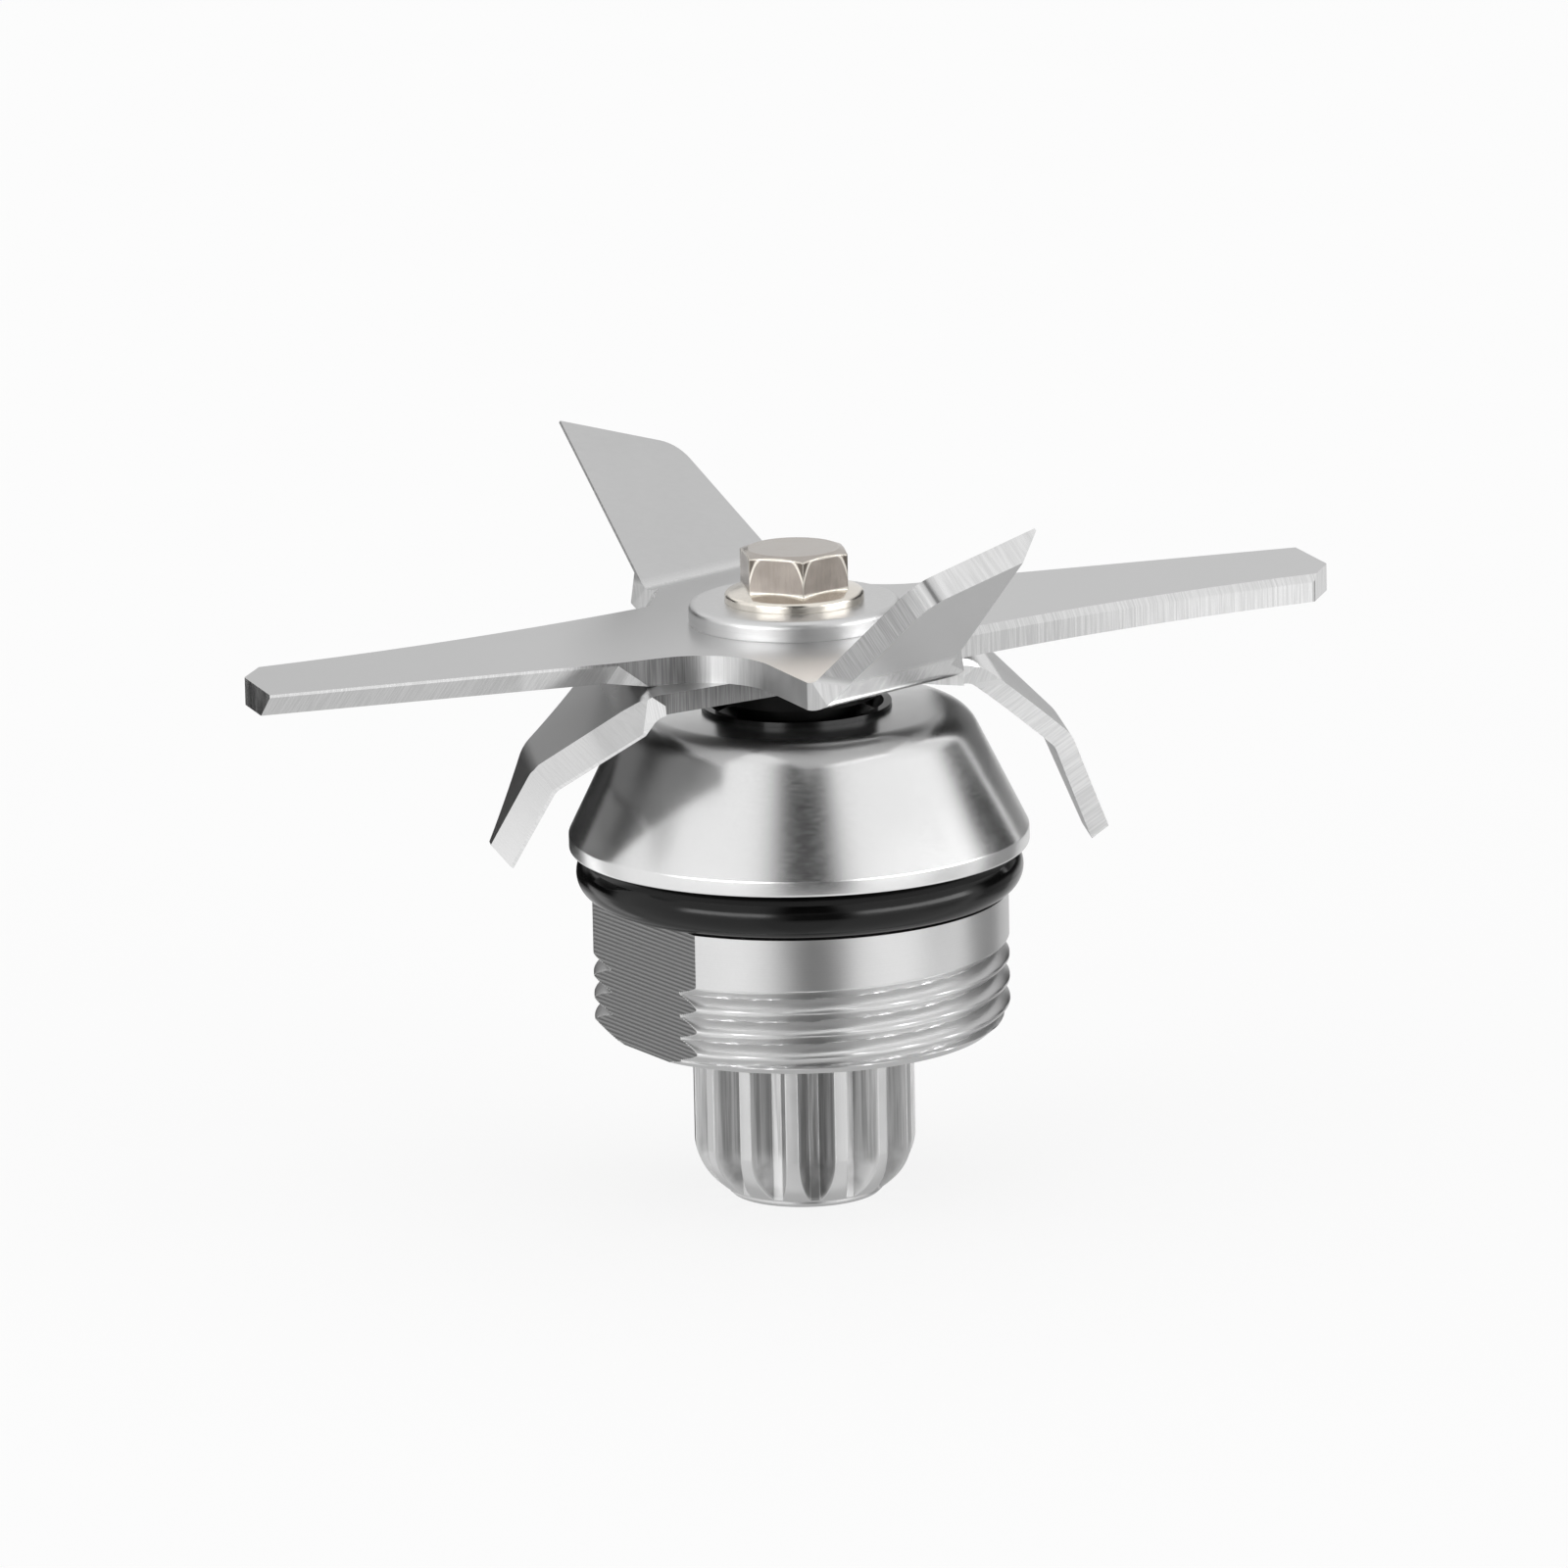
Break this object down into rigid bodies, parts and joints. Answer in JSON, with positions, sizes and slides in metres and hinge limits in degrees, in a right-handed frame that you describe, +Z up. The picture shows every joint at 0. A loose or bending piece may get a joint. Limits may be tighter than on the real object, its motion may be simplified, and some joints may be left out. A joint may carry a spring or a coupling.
{
  "type": "blender blade assembly",
  "caption": "Blender blade assembly: crossed flat, raised and lowered blades bolted to a shaft that runs on ball bearings in a sealed, threaded conical housing with a drive spline below.",
  "frame": {"origin": "middle of the drive spline's end face, on the spin axis", "axes": "+Z up along the spin axis, +X along a flat arm of the upper blade"},
  "size_m": [0.1176, 0.0758, 0.074],
  "materials": {
    "housing_steel": "turned, cone polished, body satin",
    "black_rubber": "smooth moulded rubber",
    "spring_steel": "dark spring steel",
    "shaft_steel": "ground",
    "spline_metal": "satin machined",
    "black_spacer": "blackened",
    "blade_steel": "satin stainless with ground edges",
    "washer_steel": "polished",
    "bolt_nickel": "warm nickel plate",
    "bearing_steel": "ground",
    "ball_steel": "polished",
    "cage_plastic": "moulded",
    "shield_steel": "pressed"
  },
  "bodies": {
    "housing": {"bearing_housing": "housing_steel", "housing_o_ring": "black_rubber", "shaft_seal": "black_rubber", "seal_garter_spring": "spring_steel", "retaining_ring": "spring_steel", "outer_bearing_spacer": "shaft_steel", "upper_bearing_outer_ring": "bearing_steel", "upper_bearing_top_shield": "shield_steel", "upper_bearing_bottom_shield": "shield_steel", "lower_bearing_outer_ring": "bearing_steel", "lower_bearing_top_shield": "shield_steel", "lower_bearing_bottom_shield": "shield_steel"},
    "rotor": {"drive_shaft": "shaft_steel", "drive_spline": "spline_metal", "inner_bearing_spacer": "shaft_steel", "blade_spacer": "black_spacer", "lower_blade": "blade_steel", "upper_blade": "blade_steel", "clamp_washer": "washer_steel", "blade_bolt": "bolt_nickel", "upper_bearing_inner_ring": "bearing_steel", "lower_bearing_inner_ring": "bearing_steel"},
    "upper_cage": {"upper_bearing_cage": "cage_plastic", "upper_bearing_balls": "ball_steel"},
    "lower_cage": {"lower_bearing_cage": "cage_plastic", "lower_bearing_balls": "ball_steel"}
  },
  "joints": [
    {"name": "rotor_spin", "type": "hinge", "parent": "housing", "child": "rotor", "pos_m": [0, 0, 0], "axis": [0, 0, 1], "continuous": true},
    {"name": "upper_cage_spin", "type": "hinge", "parent": "housing", "child": "upper_cage", "pos_m": [0, 0, 0.0386], "axis": [0, 0, 1], "continuous": true},
    {"name": "lower_cage_spin", "type": "hinge", "parent": "housing", "child": "lower_cage", "pos_m": [0, 0, 0.0243], "axis": [0, 0, 1], "continuous": true}
  ],
  "couplings": [
    {"joint": "upper_cage_spin", "follows": "rotor_spin", "ratio": 0.36772},
    {"joint": "lower_cage_spin", "follows": "rotor_spin", "ratio": 0.36772}
  ]
}
